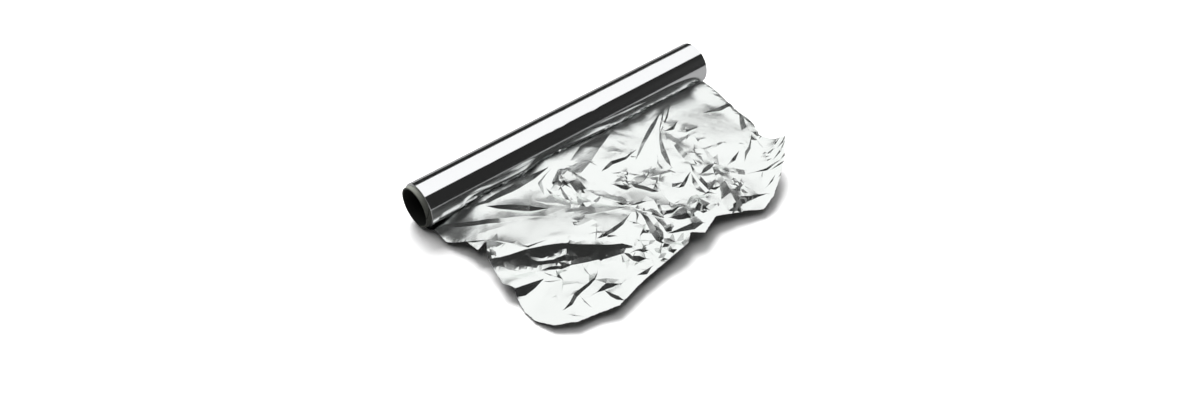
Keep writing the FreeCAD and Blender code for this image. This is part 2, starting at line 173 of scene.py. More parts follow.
# Creases of the loose end. Each starts with how steep its dark facet is. Then come the crest's
# points, as the photograph's pixel and the facet's width in mm, to the right of the way they run
# or, where it is negative, to the left. Last, for a shelf on a steep face, is its far side's slope.
creases = {
    "near blade": (1.2, [(488, 208.6, 0.3), (500, 207.4, 2.2), (515, 206.6, 3.2), (530, 206.4, 3.2),
        (547, 208.2, 0.3)]),
    "roll wedge": (0.34, [(462, 211, -0.5), (475, 207.5, -3.5), (488, 203.5, -6.5), (500, 198.5, -9),
        (513, 192, -10), (526, 184, -9), (538, 176, -7), (548, 168, -1)]),
    "near band": (0.8, [(441, 225, 0.3), (455, 223.4, 2.2), (475, 221.2, 2.8), (500, 218.8, 2.8),
        (522, 216.6, 2.0), (545, 216, 0.3)]),
    "near streak": (0.5, [(480, 233, 0.3), (487, 231, 0.9), (500, 227.5, 0.3)]),
    "near plateau line": (0.55, [(492, 241, 0.3), (505, 243.2, 1.0), (515, 245, 1.1), (528, 246.8, 1.0),
        (545, 241, 0.3)]),
    "flap line": (0.7, [(466, 242, 0.3), (475, 240.6, 1.2), (485, 240.3, 0.3)]),
    "flap side": (0.8, [(484.6, 241, 0.3), (485.6, 249.5, 6.0), (487, 259.5, 0.3)]),
    "scarp rim": (0.35, [(489, 260, 1), (500, 257.3, 2.6), (510, 254.6, 3), (525, 249.6, 3),
        (545, 245.5, 3), (562, 243, 3), (577, 244.5, 3), (598, 245, 3), (612, 244.6, 3), (622, 243.4, 3),
        (637, 247, 0.5)]),
    "scarp foot": (0.2, [(489, 260, 0.3), (508, 269, 0.6), (522, 272.3, 0.8), (545, 270, 0.8),
        (566, 265, 0.8), (583, 262, 0.8), (605, 258, 0.6), (624, 253, 0.3)]),
    "inner curl": (0.8, [(529, 256, 0.5), (532.5, 259.6, 1.3), (537, 261.4, 1.5), (545, 261.2, 1.6),
        (553, 260.6, 1.6), (560, 257.2, 2.2), (568, 255.2, 2.6), (579, 256.8, 0.3)], 0.55),
    "inner blob": (0.8, [(559, 262, 0.6), (564, 263, 2.6), (568, 266, 0.5)]),
    "inner hook": (0.8, [(526, 254, 0.3), (529.6, 253.8, 1.2), (533, 256.4, 0.3)], 0.5),
    "inner shelf": (0.85, [(556, 268.5, 0.3), (561, 266, 1.6), (567, 264.4, 1.2), (572, 264.5, 0.3)], 0.5),
    "inner foot": (0.65, [(543, 269.6, 0.3), (550, 267, 1.6), (556, 266, 1.8), (562, 267.6, 0.3)]),
    "foot blade": (1.0, [(556.6, 271.3, 0.3), (559, 274.4, 1.9), (562.4, 279, 0.3)]),
    "strip fold": (0.75, [(513.6, 288.8, 3.6), (522, 286, 5), (532, 282.6, 3.4), (543, 279, 0.4)]),
    "scarp panel": (0.3, [(585, 246, 0.3), (588, 251, 2.4), (591, 258, 0.3)]),
    "scarp panel far": (0.35, [(598, 246, 0.3), (600, 251, -2.6), (606, 256, -0.3)]),
    "lobe line a": (0.65, [(545, 273, 0.2), (551, 274.6, 0.9), (557, 277, 0.2)]),
    "lobe line b": (0.65, [(545, 281.5, 0.2), (552, 281, 0.8), (559, 280.5, 0.2)]),
    "lobe line c": (0.75, [(563, 281, 0.2), (563.5, 286, 0.9), (562, 292, 0.2)]),
    "lobe line d": (0.65, [(583, 266, -0.2), (586, 270, 0.9), (589, 275, 0.2)]),
    "lobe line e": (0.65, [(580, 296, -0.2), (585, 301, 0.8), (590, 306, 0.2)]),
    "lobe line f": (0.65, [(570, 314.5, 0.2), (575, 315, 0.8), (580, 316, 0.2)]),
    "lobe streak": (0.85, [(597, 275, -0.3), (594, 279.5, -1.2), (588, 283, -1.8), (580, 289, -2.2),
        (574, 294, -2.6), (570, 302, -2.2), (564, 309.5, -0.3)]),
    "lobe fork": (0.9, [(621, 283.6, 0.3), (612, 283.2, -2.4), (606, 283.4, -3.4), (602, 286.6, -2.6),
        (597, 292, -0.3)]),
    "lobe edge blade": (0.9, [(606, 291, 0.4), (612, 293.6, 1.8), (618, 296, 2.2), (624, 300, 0.3)]),
    "lobe corner": (0.7, [(638, 274.5, 0.4), (645, 270.5, 2.6), (651, 267, 0.4)]),
    "lobe blob": (0.85, [(629.5, 257.2, 0.4), (634, 256, 2.6), (639, 255.8, 3.4), (646, 258.6, 0.3)]),
    "scarp notch": (0.9, [(636, 251.6, 0.5), (642, 250.6, 1.6), (648, 250, 0.4)]),
    "diagonal a": (0.6, [(646, 247.5, -0.3), (656, 256.5, 1.4), (666, 266, 0.3)]),
    "diagonal b": (0.6, [(650, 253, -0.3), (654, 262, 1.4), (658, 271, 0.3)]),
    "peak near": (0.8, [(558.4, 169.6, 0.4), (558.8, 175, 4.2), (559, 181, 6.8), (556, 186, 3.8),
        (551, 191.5, 0.3)]),
    "peak sliver": (0.8, [(551, 169.4, 0.3), (546, 176, 1.8), (541.6, 183, 3.0), (543.4, 189, 2.2),
        (544, 195, 0.2)]),
    "peak crease": (0.8, [(559.6, 172, 0.3), (561.5, 178, 1.8), (564, 184.6, 2.0), (569.6, 190.4, 0.3)]),
    "peak sweep": (0.78, [(560, 171, 0.4), (566, 173.4, 3.4), (573, 176, 5.6), (580, 182.4, 6.4),
        (587, 190, 6.2), (594, 196, 5.2), (602, 199.4, 4.4), (613, 202.6, 3.0), (628, 204.6, 0.3)]),
    "peak arrow": (0.85, [(547, 191, 0.2), (551, 192.6, 1.3), (556, 195, 0.2)]),
    "peak tail": (0.8, [(561, 190, 0.2), (564, 193.5, 1.8), (567.5, 197.6, 2.0), (571, 201.5, 0.2)]),
    "peak tail side": (0.75, [(571, 199, 0.2), (571, 204, 1.0), (570.5, 208.5, 0.2)]),
    "peak blade": (0.9, [(576.4, 195.6, 0.3), (580, 199.4, 2.4), (583, 204, 2.2), (586, 208.5, 0.2)]),
    "foot line": (0.8, [(537, 203, 0.3), (547, 203, 1.0), (557, 203, 1.5), (565.4, 205.4, 0.2)]),
    "foot line far": (0.65, [(566, 212.6, 0.2), (574, 211.8, 1.0), (582, 211, 0.2)]),
    "field zigzag": (0.65, [(573, 219.5, 0.2), (578, 221, 1.2), (581, 219.5, 0.8), (584, 217, 0.2)]),
    "field crease": (0.75, [(582, 214.4, 0.3), (589, 211, 2.4), (595, 208.6, 3.4), (605, 207.6, 3.0),
        (614, 207.2, 1.8), (626, 207.2, 0.2)]),
    "field dot": (0.75, [(573, 223, 0.2), (575, 224, 1.0), (578, 225, 0.2)]),
    "valley line": (0.34, [(612, 131.5, 4), (606, 140, 12), (600, 148, 18), (590, 163, 18), (579, 180, 1)]),
    "far facet": (0.5, [(661, 112, 0.3), (656, 124, 4.6), (651, 133, 4.6), (645, 143, 3.4), (640, 153, 2.0),
        (636, 159.5, 0.3)]),
    "light line": (0.4, [(617, 143.5, 0.2), (623, 146.5, 1.1), (630, 150, 0.2)]),
    "streak a": (0.6, [(607, 157, 0.3), (614, 154.6, 1.6), (622, 154.3, 0.3)]),
    "streak b": (0.95, [(602, 173.5, 0.3), (606, 168.5, 1.7), (611, 163.2, 2.1), (618, 160.2, 1.9),
        (625, 157.2, 1.4), (636, 149.8, 0.2)]),
    "streak c": (0.65, [(626, 154.8, 0.2), (631, 156, 0.9), (637, 157, 0.2)]),
    "streak d": (0.6, [(613, 174, 0.2), (621, 171.6, 1.1), (634, 174, 1.1), (646, 175, 0.2)]),
    "small v left": (0.75, [(651, 167, -0.2), (648, 173.5, -1.2), (644, 182, -0.2)]),
    "small v right": (0.75, [(655, 169, -0.2), (652, 174, -1.1), (649, 178.5, -0.2)]),
    "long hair": (0.7, [(657.5, 157, -0.2), (658.6, 163, 1.1), (663, 168.5, 1.2), (668, 173, 0.2)]),
    "slit upper": (0.65, [(614, 183, 0.3), (622, 182.4, 1.0), (632, 181, 0.2)]),
    "slit": (1.15, [(614, 184.6, 0.3), (620, 184.8, 1.6), (627, 185.4, 2.6), (630.4, 187.4, 0.3)]),
    "slit blade": (1.05, [(630.4, 183.4, 0.3), (636, 184.2, 2.1), (645, 186.2, 2.2), (653, 189.2, 1.8),
        (658, 191.4, 0.2)]),
    "slit tail": (0.75, [(651, 186.2, 0.2), (656, 186.8, 1.1), (663, 190.5, 0.2)]),
    "spike ray a": (0.75, [(670, 105, -0.2), (666, 117, -1.4), (661, 132, -0.4)]),
    "spike ray b": (0.75, [(664, 110, -0.2), (661, 121, -1.4), (659, 132, -0.3)]),
    "spike blade": (0.8, [(660, 132, 0.4), (662, 141, 2.4), (665.4, 150, 3.6), (669, 159, 2.6),
        (671, 167, 0.2)]),
    "spike arrow": (0.85, [(677, 122, -0.2), (672, 127.6, -2.2), (665, 132, -0.3)]),
    "spike far": (0.75, [(665, 133, -0.2), (667.4, 141, 1.3), (671, 150, 0.2)]),
    "hub ray a": (0.65, [(602, 201.6, 0.2), (613, 202.8, 1.2), (622, 204, 1.2), (630, 206, 0.4)]),
    "hub ray b": (0.75, [(630, 205.8, 0.3), (637, 202.6, 1.4), (642, 201.2, 1.2), (646, 201.3, 0.2)]),
    "hub ray c": (0.75, [(623, 209.7, 0.2), (630, 210, 1.2), (637, 212, 0.3)]),
    "hub ray d": (0.8, [(636, 211, 0.3), (638.8, 215, 1.8), (636.6, 223, 0.3)]),
    "hub ray e": (0.7, [(628, 220.6, 0.2), (633, 221.8, 1.1), (638, 223.4, 0.2)]),
    "hub blade": (1.0, [(640.4, 213.6, 0.3), (648, 217.6, 2.6), (652.5, 223, 3.6), (656, 229, 4.0),
        (660.6, 237, 3.4), (662, 243, 0.3)]),
    "hub far side": (0.65, [(640, 210.6, 0.3), (652, 214.6, 1.8), (664, 219, 0.3)]),
    "hub valley": (0.9, [(629, 215, -0.3), (621.4, 221.8, -1.8), (613.4, 227.2, -2.2), (605.4, 233.2, -2.0),
        (598, 238.8, -0.2)]),
    "knot line a": (0.75, [(603, 233, 0.2), (608, 235.6, 1.4), (616, 236.2, 0.2)]),
    "knot line b": (0.7, [(604, 234, -0.2), (601, 236.5, -1.2), (598, 239, -0.2)]),
    "knot line c": (0.65, [(597, 228, 0.2), (597, 234, 1.0), (596, 240, 0.2)]),
    "knot blade a": (0.8, [(645.6, 224.4, -0.3), (643, 229, -2.0), (640, 235.6, -0.3)]),
    "knot blade b": (1.0, [(663.6, 229.4, 0.3), (667.4, 230.4, 2.4), (671.4, 233.4, 0.3)]),
    "knot right a": (0.85, [(654.4, 200.4, 0.2), (660, 207.2, 1.8), (662, 212, 1.8), (663.6, 217, 0.3)]),
    "knot right c": (0.95, [(663.4, 216.4, 0.3), (666.6, 212, 1.8), (672, 210.8, 1.9),
        (680.4, 208.4, 0.3)]),
    "knot triangle": (1.0, [(670.4, 218.6, 0.3), (678, 216.6, 2.6), (687, 214.6, 3.6), (691, 219.4, 0.3)]),
    "knot facet": (0.75, [(690, 197.6, 0.4), (694, 199.6, 6.5), (700, 203.4, 5.4), (706, 207.2, 2.0),
        (707, 209.6, 0.3)]),
    "knot drop": (0.75, [(690.6, 203, 0.2), (689.4, 209, 1.4), (687, 214.5, 0.2)]),
    "knot low a": (0.85, [(700, 211, 0.2), (703, 210.6, 1.6), (707, 211, 0.2)]),
    "knot low b": (0.75, [(668, 235.2, 0.3), (680, 229, 2.2), (692, 223, 4.4), (703, 222.4, 0.4)]),
    "cone left": (0.85, [(690, 172.4, -0.3), (685.6, 178, -1.8), (681.6, 183.6, -2.4), (679, 187, -0.6)]),
    "cone right": (0.9, [(692, 175, 0.3), (695, 180, 2.4), (699.6, 186.4, 3.0), (706, 193.6, 0.3)]),
    "cone lens": (0.65, [(688, 184.6, 0.2), (693, 186, 1.2), (699, 190.5, 0.2)]),
    "cone base": (0.7, [(703, 195, 0.2), (708, 191.6, 1.4), (714, 193.4, 0.2)]),
    "cone shelf": (0.55, [(709, 189.6, 0.3), (715, 187.4, 1.8), (721, 186, 0.2)]),
    "field long": (0.55, [(650, 178, 0.3), (660, 175, 1.8), (670, 173, 2.2), (684, 174, 0.3)]),
    "field wedge": (0.7, [(652, 181, 0.2), (662, 182.2, 1.6), (672, 183.4, 3.0), (682, 184.4, 0.4)]),
    "upper blade": (0.8, [(671.5, 143, 0.3), (677, 144.6, 2.6), (683, 150.4, 3.8), (690, 157.6, 3.8),
        (700, 166.4, 0.4)]),
    "upper drop": (0.95, [(689, 163, 0.2), (694.6, 170, 1.6), (701, 178.6, 2.2), (706, 184.4, 2.2),
        (709.6, 191.4, 0.3)]),
    "upper line": (0.6, [(694, 163, 0.2), (697, 165.4, 1.0), (700, 168, 0.2)]),
    "far hub facet": (0.75, [(703, 150, 0.3), (709, 152.5, 2.6), (713, 157, 3.2), (714.4, 164, 0.4)]),
    "far hub line a": (0.75, [(714, 163.6, -0.3), (708, 165.6, -2.8), (703.4, 169.6, -2.6),
        (701, 175, -0.4)]),
    "far hub line b": (0.65, [(694, 146, 0.2), (694.6, 151, 1.2), (695, 155.5, 0.2)]),
    "far hub line c": (0.65, [(690, 156, 0.2), (695, 155.4, 1.2), (702, 155, 0.2)]),
    "far hub line d": (0.65, [(695, 137.5, -0.2), (699, 141, 1.2), (702.5, 144.5, 0.2)]),
    "far hub band": (0.65, [(716, 167.4, 0.3), (722, 171.2, 1.8), (729.5, 174, 0.3)]),
    "canyon wall": (0.85, [(713, 168, 0.4), (719, 175, 3.2), (725, 180, 4.8), (728, 186, 5.8),
        (731, 193, 7.6), (736, 202, 7.4), (738.5, 208, 2)]),
    "far lens": (0.65, [(729, 187.6, 0.3), (737, 190, 2.2), (742, 187, 0.4)]),
    "far line a": (0.65, [(731, 193.4, 0.2), (735, 193, 1.3), (740, 193.6, 0.2)]),
    "far line b": (0.65, [(740, 192, -0.2), (742, 195.6, 1.0), (744.4, 199.5, 0.2)]),
    "far line c": (0.65, [(736, 181, 0.2), (740, 182.4, 1.1), (744, 185, 0.2)]),
    "far low": (0.65, [(740, 200.4, 0.3), (750, 197.8, 2.0), (757, 194.4, 1.8), (766, 193.6, 0.3)]),
    "far line d": (0.6, [(731, 174, 0.2), (738, 173.8, 1.2), (745, 175, 0.2)]),
    "far line e": (0.65, [(755, 172, 0.2), (766, 168.4, 1.6), (771, 165, 1.4), (780, 160.4, 0.2)]),
    "far grey": (0.5, [(738.5, 152.5, -0.3), (733, 158, -2.4), (727.5, 164.5, -0.3)]),
    "far blade": (0.85, [(704, 113, 0.3), (712, 109.6, 1.8), (720, 106.8, 2.8), (731, 104.2, 2.2),
        (735, 103.6, 0.3)]),
    "far small blade": (0.75, [(678, 131.6, 0.3), (686, 130, 1.8), (697, 127.6, 0.3)]),
    "step": (0.75, [(739.5, 113, 0.4), (743.6, 118, 3.4), (746.6, 127, 4.4), (750, 136, 2.4),
        (757, 139.4, 0.9), (762.4, 147, 0.2)]),
    "step twig a": (0.85, [(759, 139, 0.2), (760.6, 136, 0.9), (762.4, 132, 0.2)]),
    "step twig b": (0.75, [(751.5, 136, -0.2), (748.6, 146.6, -1.8), (745, 152, -2.0), (744.6, 161, -0.2)]),
    "curl line a": (0.65, [(776, 141, -0.2), (773, 147, -1.2), (770, 153.5, -0.2)]),
    "curl line b": (0.65, [(785, 140, -0.2), (779.4, 150.6, -1.4), (774, 158.5, -0.2)]),
    "curl line c": (0.65, [(762, 157, 0.2), (765.6, 156.2, 1.1), (769.4, 156, 0.2)]),
    "curl line d": (0.65, [(763, 161.6, 0.2), (767, 160, 1.0), (771.4, 158.6, 0.2)]),
    "curl line e": (0.65, [(784, 167, -0.2), (781.6, 171.6, -1.2), (779, 176.5, -0.2)]),
    "curl line f": (0.65, [(775, 175, -0.2), (771.4, 180, -1.2), (768, 185.5, -0.2)]),
    "tip line a": (0.75, [(786, 134, -0.2), (782, 141.5, -1.1), (778, 147, -0.2)]),
    "tip line b": (0.75, [(779, 138.6, -0.2), (774.6, 143, -1.1), (769, 146.5, -0.2)]),
    "tip line c": (0.7, [(787, 147, -0.2), (784.6, 153, -1.2), (781, 158.6, -0.2)]),
    "tip line d": (0.7, [(774, 149, -0.2), (768, 152.4, -1.1), (762.6, 154, -0.2)]),
    "tip line e": (0.7, [(786, 160, -0.2), (779, 163.6, -1.1), (772, 169, -0.2)]),
}

# Dense crumples: the middle's pixel, then radius, spacing of the facets' corners and their
# height, in mm
knots = {
    "middle knot": (652, 232, 16, 5.0, 1.9),
    "knot below the hub": (676, 243, 13, 4.6, 1.7),
    "lower knot": (664, 252, 14, 4.4, 1.4),
    "fan at the edge": (634, 262, 14, 4.6, 1.2),
    "hub": (636, 210, 9, 3.6, 1.0),
    "far hub": (712, 162, 9, 3.4, 0.9),
    "near the cone": (696, 205, 12, 4.6, 1.5),
    "step loop": (745, 148, 7, 2.8, 0.5),
    "peak foot": (556, 190, 9, 3.6, 0.7),
    "far bowl": (738, 186, 12, 4.4, 0.6),
    "middle field": (600, 222, 20, 6.0, 0.42),
    "field": (655, 190, 24, 6.5, 0.4),
    "near plateau": (520, 232, 26, 9.0, 0.4),
    "far corner": (755, 180, 20, 6.5, 0.65),
    "lobe": (590, 282, 24, 7.5, 0.5),
}

# Folds too broad to be creases, written like them; the sheet behind them is lifted to their crest
broadFolds = {
    "scarp": (0.32, [(487, 261, 2), (500, 257.3, 9), (512, 253.6, 12), (525, 249.6, 14), (545, 245.5, 15.5),
        (562, 243, 15), (577, 244, 14), (598, 244.6, 10.5), (612, 244.6, 9), (622, 243.4, 7),
        (637, 247, 1)]),
}

# Broad corrections to the smooth form: the middle's pixel, then rise and radius in mm
swells = {
    "plateau": (512, 216, 1.0, 38),
}

# Stretches where only the broadest shape of the solid is kept: the middle's pixel, and radius in mm
calmZones = {
    "near plateau": (480, 228, 42),
    "near plateau far": (530, 222, 32),
    "roll middle": (600, 172, 26),
    "bright field": (640, 170, 28),
    "far field": (715, 125, 32),
    "far bowl": (750, 180, 22),
    "lobe": (575, 294, 30),
}


class HeightField:
    # heights on a square grid, read anywhere between its points
    def __init__(self, low, step, values):
        self.low, self.step, self.values = low, step, values

    def at(self, x, y):
        rows, columns = self.values.shape
        u = np.clip((np.asarray(x) - self.low[0]) / self.step, 0, columns - 1.001)
        v = np.clip((np.asarray(y) - self.low[1]) / self.step, 0, rows - 1.001)
        j, i = u.astype(int), v.astype(int)
        fu, fv = u - j, v - i
        z = self.values
        return ((z[i, j] * (1 - fu) + z[i, j + 1] * fu) * (1 - fv)
                + (z[i + 1, j] * (1 - fu) + z[i + 1, j + 1] * fu) * fv)


def blurred(values, cells):
    # blur that leaves out the places without a value, and reaches past the edge
    known = ~np.isnan(values)
    reach = int(4 * cells) + 1
    kernel = np.exp(-0.5 * (np.arange(-reach, reach + 1) / cells) ** 2)
    layers = [np.where(known, values, 0.0), known.astype(float)]
    for axis in (0, 1):
        layers = [np.apply_along_axis(np.convolve, axis, layer, kernel, "same") for layer in layers]
    share = layers[1] / kernel.sum() ** 2
    return layers[0] / np.maximum(layers[1], 1e-12), share


def smoothStep(share):
    share = np.clip(share, 0, 1)
    return share * share * (3 - 2 * share)


def castFromBelow():
    # heights of the solid's underside on a grid, and no number where it has none
    node = frame["nodes"]["foil"]
    tree = BVHTree.FromPolygons([v.co.copy() for v in node.data.vertices],
                                [tuple(p.vertices) for p in node.data.polygons])
    step, margin = looseEnd["castStep"], looseEnd["gridMargin"]
    xs = np.arange(-webHalf - margin, webHalf + margin, step)
    ys = np.arange(foilLow.y - margin, 0, step)
    heights = np.full((len(ys), len(xs)), np.nan)
    up, start = Vector((0, 0, 1)), floorHeight - looseEnd["castBelow"]
    for i, y in enumerate(ys):
        for j, x in enumerate(xs):
            hit = tree.ray_cast(Vector((x, y, start)), up, looseEnd["castReach"])[0]
            if hit is not None:
                heights[i, j] = hit.z
    return xs, ys, heights


def besideRoll(x, out):
    # height of the sheet from under the roll to its shoulder, and how much this counts
    across, hiddenRise, shoulderOut, shoulderRise = (np.array(row) * mm for row in zip(*shoulder))
    hidden, edge, top = (np.interp(x, across, row) for row in (hiddenRise, shoulderOut, shoulderRise))
    liftOff, hiddenTo = looseEnd["liftOff"], looseEnd["hiddenTo"]
    start = hidden * smoothStep((out - liftOff) / (hiddenTo - liftOff))
    climb = hidden + (top - hidden) * np.clip((out - hiddenTo) / (edge - hiddenTo), 0, 1)
    share = 1 - smoothStep((out - edge) / looseEnd["shoulderFade"])
    return floorHeight + np.where(out < hiddenTo, start, climb), share


def smoothForm():
    # main folds of the solid's loose end without its small crumples, its start beside the roll,
    # and a share that is 0 at its edge and 1 well inside
    xs, ys, raw = castFromBelow()
    step = looseEnd["castStep"]
    smooth, share = blurred(raw, looseEnd["softening"] / step)
    nearby, near = blurred(raw, looseEnd["edgeCells"])
    calm, _ = blurred(raw, looseEnd["calming"] / step)
    inner = np.clip((share - looseEnd["edgeShare"]) / looseEnd["innerShare"], 0, 1)
    values = np.where(near > 1e-6, nearby + (smooth - nearby) * inner, floorHeight)
    form = HeightField((xs[0], ys[0]), step, values)
    gridX, gridY = np.meshgrid(xs, ys)
    for px, py, radius in calmZones.values():
        x, y = onSheet(form, px, py)
        apart = np.hypot(gridX - x, gridY - y) / (radius * mm)
        values += np.clip(2 - 2 * apart, 0, 1) * inner * (calm - values)
    beside, share = besideRoll(gridX, -gridY)
    values += share * (beside - values)
    for px, py, rise, radius in swells.values():
        x, y = onSheet(form, px, py)
        values += rise * mm * np.exp(-((gridX - x) ** 2 + (gridY - y) ** 2) / (radius * mm) ** 2)
    for steep, points in broadFolds.values():
        line, widths = creaseLine(form, steep, points)
        values += creaseRise(gridX.ravel(), gridY.ravel(), line, widths, steep).reshape(values.shape)
    return form, gridX, gridY, inner


def filling(form, rise):
    # how much fills the hollows of the form and the rise on it, until nothing falls faster toward
    # the roll or its far end, where it would miss the softbox
    total = form.values + rise
    level = total.copy()
    for lines in (level, level.T):
        for k in range(1, len(lines)):
            lines[k] = np.maximum(lines[k], lines[k - 1] - looseEnd["mostFall"] * form.step)
    return blurred(level, looseEnd["fillCells"])[0] - total


def cameraAxes():
    azimuth, elevation = math.radians(camera["azimuth"]), math.radians(camera["elevation"])
    back = Vector((math.sin(azimuth) * math.cos(elevation), -math.cos(azimuth) * math.cos(elevation),
                   math.sin(elevation)))
    right = Vector((math.cos(azimuth), math.sin(azimuth), 0))
    return back, right, back.cross(right)


def onSheet(form, px, py, rise=0.0):
    # where the camera sees this pixel of the photograph on the sheet, going down its ray in small steps
    back, right, up = cameraAxes()
    middleX, middleY = camera["frameSize"][0] / 2, camera["frameSize"][1] / 2
    ray = -back + right * ((px - middleX) / camera["focalPixels"])
    ray += up * ((middleY - py) / camera["focalPixels"])
    x, y, z = camera["place"]
    highest, step = camera["rayFrom"], camera["rayStep"]
    heights = np.arange(floorHeight + highest, floorHeight - step, -step)
    along = (heights - (z + floorHeight)) / ray.z
    xs, ys = x + along * ray.x, y + along * ray.y
    below = heights <= form.at(xs, ys) + rise
    first = int(np.argmax(below)) if below.any() else len(heights) - 1
    return xs[first], ys[first]


def creaseLine(form, steep, points):
    # plan of one crease's crest, the width of its facet and the side that this lies on
    place = [onSheet(form, px, py, steep * abs(width) * mm) for px, py, width in points]
    return np.array(place), np.array([width * mm for _, _, width in points])


def normalsOf(line):
    # to the right of the way the line runs, shared at its bends
    legs = np.diff(line, axis=0)
    legs /= np.maximum(np.linalg.norm(legs, axis=1), 1e-9)[:, None]
    bends = np.vstack([legs[:1], legs[:-1] + legs[1:], legs[-1:]])
    bends /= np.maximum(np.linalg.norm(bends, axis=1), 1e-9)[:, None]
    return legs, bends, np.stack([bends[:, 1], -bends[:, 0]], 1)


def creaseRise(x, y, line, widths, steep, farSlope=0.08):
    # a ridge with its steep facet on one side and a shallow slope of 1 to 24 mm on the other
    leastFar, mostFar, spare = 1 * mm, 24 * mm, 2 * mm
    rise = np.zeros(x.shape)
    highest = np.abs(widths).max() * steep
    margin = max(min(highest / farSlope, mostFar) + spare, np.abs(widths).max())
    near = ((x > line[:, 0].min() - margin) & (x < line[:, 0].max() + margin)
            & (y > line[:, 1].min() - margin) & (y < line[:, 1].max() + margin))
    if not near.any():
        return rise
    places = np.stack([x[near], y[near]], 1)
    legs, bends, _ = normalsOf(line)
    best = np.full(len(places), np.inf)
    side = np.zeros(len(places))
    width = np.zeros(len(places))
    for k in range(len(line) - 1):
        leg = line[k + 1] - line[k]
        share = np.clip(((places - line[k]) @ leg) / max(leg @ leg, 1e-12), 0, 1)
        offset = places - (line[k] + share[:, None] * leg)
        distance = np.linalg.norm(offset, axis=1)
        ahead = np.where((share >= 1)[:, None], bends[k + 1], legs[k])
        ahead = np.where((share <= 0)[:, None], bends[k], ahead)
        turn = -(ahead[:, 0] * offset[:, 1] - ahead[:, 1] * offset[:, 0])
        closer = distance < best
        best = np.where(closer, distance, best)
        side = np.where(closer, np.sign(turn), side)
        width = np.where(closer, widths[k] + share * (widths[k + 1] - widths[k]), width)
    onFacet = side * np.sign(width) >= 0
    farReach = np.clip(np.abs(width) * steep / farSlope, leastFar, mostFar)
    reach = np.where(onFacet, np.abs(width), farReach)
    rise[near] = steep * np.abs(width) * np.clip(1 - best / np.maximum(reach, 1e-6), 0, 1)
    return rise


def stepped(line, widths, step):
    # more points along a line, each with its width
    places, values = [line[0]], [widths[0]]
    for k in range(len(line) - 1):
        parts = max(1, round(np.linalg.norm(line[k + 1] - line[k]) / step))
        for n in range(1, parts + 1):
            places.append(line[k] + (line[k + 1] - line[k]) * n / parts)
            values.append(widths[k] + (widths[k + 1] - widths[k]) * n / parts)
    return np.array(places), np.array(values)


def insideLoop(x, y, loop):
    odd = np.zeros(x.shape, bool)
    for (ax, ay), (bx, by) in zip(loop, np.roll(loop, -1, 0)):
        if ay != by:
            odd ^= ((ay > y) != (by > y)) & (x < ax + (bx - ax) * (y - ay) / (by - ay))
    return odd


def tornEdge(draw):
    # the sheet's outline, its last points ragged where it was torn
    width, reach = looseEnd["webWidth"], looseEnd["reach"]
    corners = np.array([(across / 100 * width, -out / 100 * reach) for across, out in sheetEdge])
    start = np.array([(webHalf, -looseEnd["underRoll"]), (-webHalf, -looseEnd["underRoll"])])
    line = np.vstack([start[1:], corners, start[:1]])
    line[:, 0] = np.clip(line[:, 0], -webHalf, webHalf)
    places, _ = stepped(line, np.zeros(len(line)), looseEnd["edgeStep"])
    _, _, normals = normalsOf(places)
    middle = places.mean(0)
    inward = np.where(((middle - places) * normals).sum(1) >= 0, 1, -1)[:, None] * normals
    ragged = np.array([draw.uniform(0.1, 1) * looseEnd["tornDepth"] for _ in places])
    ragged *= np.clip((-places[:, 1] - looseEnd["tornFrom"]) / looseEnd["tornOver"], 0, 1)
    return places + inward * ragged[:, None]


def settledForm():
    # the smooth form with its hollows filled, and each crease laid on it; two rounds, since what
    # the creases raise on the whole is taken off the form below them
    solid, gridX, gridY, inner = smoothForm()
    inner = np.minimum(inner, np.clip((gridX + webHalf) / looseEnd["nearRamp"], 0, 1))
    rise = np.zeros(gridX.shape)
    for _ in range(2):
        form = HeightField(solid.low, solid.step, solid.values + inner * filling(solid, rise))
        lines = [(*creaseLine(form, steep, points), steep, *farSlope)
                 for steep, points, *farSlope in creases.values()]
        rise = sum(creaseRise(gridX.ravel(), gridY.ravel(), *line) for line in lines).reshape(gridX.shape)
        rise = blurred(rise, looseEnd["settling"] / solid.step)[0]
    form.values = solid.values + inner * filling(solid, rise)
    return form, lines


def addCreasePoints(lines, edge, spots, links):
    # points along each crest and its facet's foot, linked so that the mesh folds there
    for line, widths, *_ in lines:
        crest, values = stepped(line, widths, looseEnd["creaseStep"])
        _, _, normals = normalsOf(crest)
        foot = crest + normals * values[:, None]
        for row in (crest, foot):
            within = insideLoop(row[:, 0], row[:, 1], edge)
            for k, place in enumerate(row):
                if within[k]:
                    spots.append(tuple(place))
                    if k and within[k - 1]:
                        links.append((len(spots) - 2, len(spots) - 1))


def scattered(draw, low, high, cell):
    # one free place in each cell of a grid
    return np.array([(low[0] + (j + draw.random()) * cell, low[1] + (i + draw.random()) * cell)
                     for i in range(int((high[1] - low[1]) / cell) + 1)
                     for j in range(int((high[0] - low[0]) / cell) + 1)])


